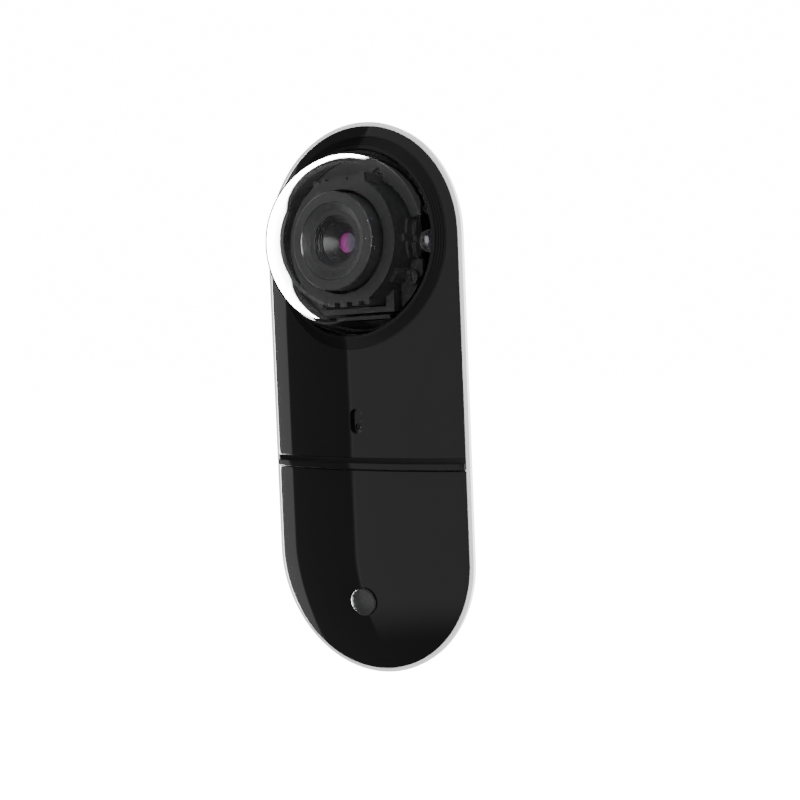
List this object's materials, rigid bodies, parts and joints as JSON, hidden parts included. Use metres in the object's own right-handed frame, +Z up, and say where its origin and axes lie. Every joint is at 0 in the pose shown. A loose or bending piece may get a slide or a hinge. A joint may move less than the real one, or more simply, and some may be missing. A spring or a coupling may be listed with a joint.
{
  "type": "video doorbell",
  "caption": "Wall-mounted video doorbell: tall stadium body with a crowned gloss front, clear camera dome, raised speaker band, microphone recess and round call button.",
  "frame": {"origin": "centre of the rear face of the wall bracket, on the wall plane, halfway up the body", "axes": "+Z up the wall, +Y into the wall, so the front faces -Y; +X to the right seen from the front"},
  "size_m": [0.0792, 0.0485, 0.1828],
  "materials": {
    "bracket_steel": "zinc-plated sheet, satin",
    "housing_plastic": "fine moulded texture",
    "rim_plastic": "light grey, satin",
    "cover_gloss": "high-gloss black, polished mould",
    "band_gloss": "high-gloss black",
    "ring_gloss": "gloss black with fine turned steps",
    "dome_clear": "clear polished polycarbonate",
    "seal_rubber": "smooth moulded rubber",
    "mask_plastic": "dark grey, spark-eroded texture",
    "camera_housing": "dark grey, fine texture",
    "hood_plastic": "dark grey, satin",
    "baffle_black": "matt with fine steps",
    "barrel_black": "black anodised, fine turned",
    "front_glass": "coated glass, magenta reflection",
    "lens_glass": "coated optical glass",
    "filter_plastic": "smooth",
    "filter_coating": "infrared-cut coating",
    "coil_copper": "enamelled copper winding",
    "sensor_glass": "sensor cover glass",
    "board_green": "solder mask",
    "shelf_plastic": "fine texture",
    "heat_metal": "stamped sheet",
    "led_clear": "clear epoxy",
    "cup_grey": "satin reflector",
    "flex_amber": "polyimide film",
    "screw_steel": "plated steel",
    "screw_dark": "blackened steel",
    "chip_black": "moulded epoxy",
    "shield_tin": "tin-plated sheet",
    "ferrite": "sintered ferrite",
    "can_aluminium": "drawn can",
    "connector_cream": "glass-filled nylon",
    "terminal_green": "moulded nylon",
    "capsule_metal": "drawn can",
    "mesh_grey": "fine woven mesh",
    "speaker_frame": "smooth",
    "magnet_steel": "plated yoke and magnet",
    "cone_paper": "pressed paper",
    "duct_foam": "closed-cell foam",
    "button_gloss": "satin-gloss black",
    "boot_rubber": "silicone",
    "switch_black": "smooth",
    "plunger_cream": "smooth acetal",
    "grommet_rubber": "moulded rubber"
  },
  "bodies": {
    "unit": {"wall_bracket": "bracket_steel", "rear_housing": "housing_plastic", "housing_seal": "seal_rubber", "rim_frame": "rim_plastic", "frame_screws": "screw_steel", "upper_cover": "cover_gloss", "lower_cover": "cover_gloss", "speaker_band": "band_gloss", "bezel_ring": "ring_gloss", "dome": "dome_clear", "dome_seal": "seal_rubber", "upper_mask": "mask_plastic", "left_mask": "mask_plastic", "right_mask": "mask_plastic", "mask_screws": "screw_dark", "camera_housing": "camera_housing", "lens_hood": "hood_plastic", "hood_baffle": "baffle_black", "lens_barrel": "barrel_black", "front_lens": "front_glass", "middle_lens": "lens_glass", "rear_lens": "lens_glass", "lens_lock_ring": "barrel_black", "lens_holder": "filter_plastic", "filter_coil": "coil_copper", "image_sensor": "sensor_glass", "sensor_board": "board_green", "camera_shelf": "shelf_plastic", "heat_plate": "heat_metal", "infrared_leds": "led_clear", "led_cups": "cup_grey", "camera_flex": "flex_amber", "main_board": "board_green", "board_screws": "screw_steel", "processor": "chip_black", "memory_chip": "chip_black", "radio_shield": "shield_tin", "power_inductor": "ferrite", "capacitors": "can_aluminium", "flex_connector": "connector_cream", "terminal_block": "terminal_green", "terminal_screws": "screw_steel", "mic_capsule": "capsule_metal", "mic_boot": "seal_rubber", "mic_mesh": "mesh_grey", "speaker_basket": "speaker_frame", "speaker_magnet": "magnet_steel", "speaker_duct": "duct_foam", "tact_switch": "switch_black", "button_board": "board_green", "tamper_switch": "switch_black", "cable_grommet": "grommet_rubber", "security_screw": "screw_dark"},
    "button": {"button_cap": "button_gloss", "button_boot": "boot_rubber"},
    "tact": {"tact_plunger": "plunger_cream"},
    "tamper": {"tamper_plunger": "plunger_cream"},
    "filter": {"filter_carrier": "filter_plastic", "filter_glass": "filter_coating"},
    "cone": {"speaker_cone": "cone_paper"}
  },
  "joints": [
    {"name": "call_button_press", "type": "slide", "parent": "unit", "child": "button", "axis": [0, 0.9937, 0.112], "range_m": [0, 0.0005], "stiffness_N_per_m": 1500},
    {"name": "switch_press", "type": "slide", "parent": "unit", "child": "tact", "axis": [0, 0.9937, 0.112], "range_m": [0, 0.0005]},
    {"name": "tamper_press", "type": "slide", "parent": "unit", "child": "tamper", "axis": [0, -1, 0], "range_m": [0, 0.0004], "stiffness_N_per_m": 300},
    {"name": "filter_shift", "type": "slide", "parent": "unit", "child": "filter", "axis": [1, 0, 0], "range_m": [0, 0.006]},
    {"name": "cone_stroke", "type": "slide", "parent": "unit", "child": "cone", "axis": [0, -1, 0], "range_m": [-0.0004, 0.0004], "stiffness_N_per_m": 800}
  ],
  "couplings": [
    {"joint": "switch_press", "follows": "call_button_press", "ratio": 1}
  ]
}
